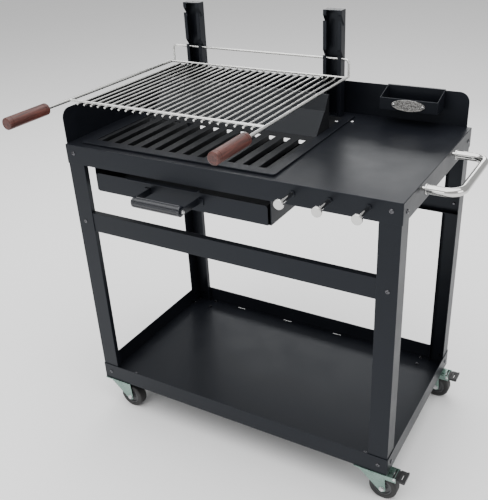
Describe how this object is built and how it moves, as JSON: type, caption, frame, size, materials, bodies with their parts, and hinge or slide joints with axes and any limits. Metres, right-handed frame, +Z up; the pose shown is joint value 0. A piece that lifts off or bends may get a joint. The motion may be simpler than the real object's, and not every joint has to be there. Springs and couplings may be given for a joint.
{
  "type": "charcoal grill cart",
  "caption": "Wheeled black steel charcoal grill cart with a hanging stainless grate, ash drawer, side work top, push handle and bottom shelf.",
  "frame": {"origin": "on the ground, under the middle of the whole object's bounding box", "axes": "+X towards the push handle, -Y towards the cook at the front, +Z up"},
  "size_m": [0.9966, 0.7034, 1.116],
  "materials": {
    "black_steel": "fine semi-gloss black powder coat",
    "tray_steel": "heat-resistant black coat, slightly greyer than the frame",
    "stainless": "bright drawn stainless rod",
    "chrome": "polished",
    "screw_steel": "bright round heads",
    "turned_wood": "dark red-brown, oiled",
    "gloss_black": "glossy ribbed moulding",
    "badge_metal": "cast, finely grained, blank",
    "zinc_plate": "zinc plated",
    "wheel_rubber": "matte black rubber",
    "pedal_plastic": "matte black"
  },
  "bodies": {
    "frame": {"table_top": "black_steel", "leg_front_left": "black_steel", "leg_front_right": "black_steel", "leg_rear_left": "black_steel", "leg_rear_right": "black_steel", "front_rail": "black_steel", "rear_rail": "black_steel", "shelf_floor": "black_steel", "shelf_walls": "black_steel", "left_panel": "black_steel", "back_panel": "black_steel", "fire_rim": "black_steel", "tray_floor": "tray_steel", "fireback": "tray_steel", "upright_left": "black_steel", "upright_right": "black_steel", "drawer_rail_left": "black_steel", "drawer_rail_right": "black_steel", "peg_1": "chrome", "peg_2": "chrome", "peg_3": "chrome", "handle_tube": "chrome", "handle_collars": "chrome", "caster_plate_front_left": "zinc_plate", "caster_plate_front_right": "zinc_plate", "caster_plate_rear_left": "zinc_plate", "caster_plate_rear_right": "zinc_plate", "frame_screws": "screw_steel", "caster_bolts": "screw_steel", "tray_bolts": "screw_steel"},
    "cooking_grate": {"grate_side_bars": "stainless", "grate_crossbars": "stainless", "grate_rods": "stainless", "grate_hoop": "stainless", "grip_left": "turned_wood", "grip_right": "turned_wood"},
    "ash_drawer": {"drawer_pan": "tray_steel", "drawer_front": "black_steel", "heat_shield": "black_steel", "drawer_handle": "black_steel", "drawer_grip": "gloss_black", "drawer_grip_bolt": "screw_steel"},
    "charcoal_plate": {"charcoal_plate": "tray_steel"},
    "caddy": {"caddy": "black_steel", "name_badge": "badge_metal", "badge_rivets": "screw_steel"},
    "swivel_front_left": {"fork_front_left": "zinc_plate", "axle_front_left": "zinc_plate"},
    "wheel_front_left": {"wheel_front_left": "wheel_rubber"},
    "swivel_front_right": {"fork_front_right": "zinc_plate", "axle_front_right": "zinc_plate"},
    "wheel_front_right": {"wheel_front_right": "wheel_rubber"},
    "brake_front_right": {"brake_pedal_front_right": "pedal_plastic"},
    "swivel_rear_left": {"fork_rear_left": "zinc_plate", "axle_rear_left": "zinc_plate"},
    "wheel_rear_left": {"wheel_rear_left": "wheel_rubber"},
    "swivel_rear_right": {"fork_rear_right": "zinc_plate", "axle_rear_right": "zinc_plate"},
    "wheel_rear_right": {"wheel_rear_right": "wheel_rubber"},
    "brake_rear_right": {"brake_pedal_rear_right": "pedal_plastic"}
  },
  "joints": [
    {"name": "grate_lift", "type": "slide", "parent": "frame", "child": "cooking_grate", "axis": [0, -0.5736, 0.8192], "range_m": [0, 0.25]},
    {"name": "drawer_slide", "type": "slide", "parent": "frame", "child": "ash_drawer", "axis": [0, -1, 0], "range_m": [0, 0.3]},
    {"name": "plate_lift", "type": "slide", "parent": "frame", "child": "charcoal_plate", "axis": [0, 0, 1], "range_m": [0, 0.06]},
    {"name": "caddy_lift", "type": "slide", "parent": "frame", "child": "caddy", "axis": [0, 0, 1], "range_m": [0, 0.06]},
    {"name": "swivel_turn_front_left", "type": "hinge", "parent": "frame", "child": "swivel_front_left", "pos_m": [-0.44875, -0.13775, 0.1], "axis": [0, 0, 1], "continuous": true},
    {"name": "wheel_roll_front_left", "type": "hinge", "parent": "swivel_front_left", "child": "wheel_front_left", "pos_m": [-0.41875, -0.13775, 0.0375], "axis": [0, 1, 0], "continuous": true},
    {"name": "swivel_turn_front_right", "type": "hinge", "parent": "frame", "child": "swivel_front_right", "pos_m": [0.36125, -0.13775, 0.1], "axis": [0, 0, 1], "continuous": true},
    {"name": "wheel_roll_front_right", "type": "hinge", "parent": "swivel_front_right", "child": "wheel_front_right", "pos_m": [0.39125, -0.13775, 0.0375], "axis": [0, 1, 0], "continuous": true},
    {"name": "brake_tip_front_right", "type": "hinge", "parent": "swivel_front_right", "child": "brake_front_right", "pos_m": [0.42125, -0.13775, 0.082], "axis": [0, 1, 0], "range_deg": [0, 12]},
    {"name": "swivel_turn_rear_left", "type": "hinge", "parent": "frame", "child": "swivel_rear_left", "pos_m": [-0.44875, 0.31725, 0.1], "axis": [0, 0, 1], "continuous": true},
    {"name": "wheel_roll_rear_left", "type": "hinge", "parent": "swivel_rear_left", "child": "wheel_rear_left", "pos_m": [-0.41875, 0.31725, 0.0375], "axis": [0, 1, 0], "continuous": true},
    {"name": "swivel_turn_rear_right", "type": "hinge", "parent": "frame", "child": "swivel_rear_right", "pos_m": [0.36125, 0.31725, 0.1], "axis": [0, 0, 1], "continuous": true},
    {"name": "wheel_roll_rear_right", "type": "hinge", "parent": "swivel_rear_right", "child": "wheel_rear_right", "pos_m": [0.39125, 0.31725, 0.0375], "axis": [0, 1, 0], "continuous": true},
    {"name": "brake_tip_rear_right", "type": "hinge", "parent": "swivel_rear_right", "child": "brake_rear_right", "pos_m": [0.42125, 0.31725, 0.082], "axis": [0, 1, 0], "range_deg": [0, 12]}
  ]
}
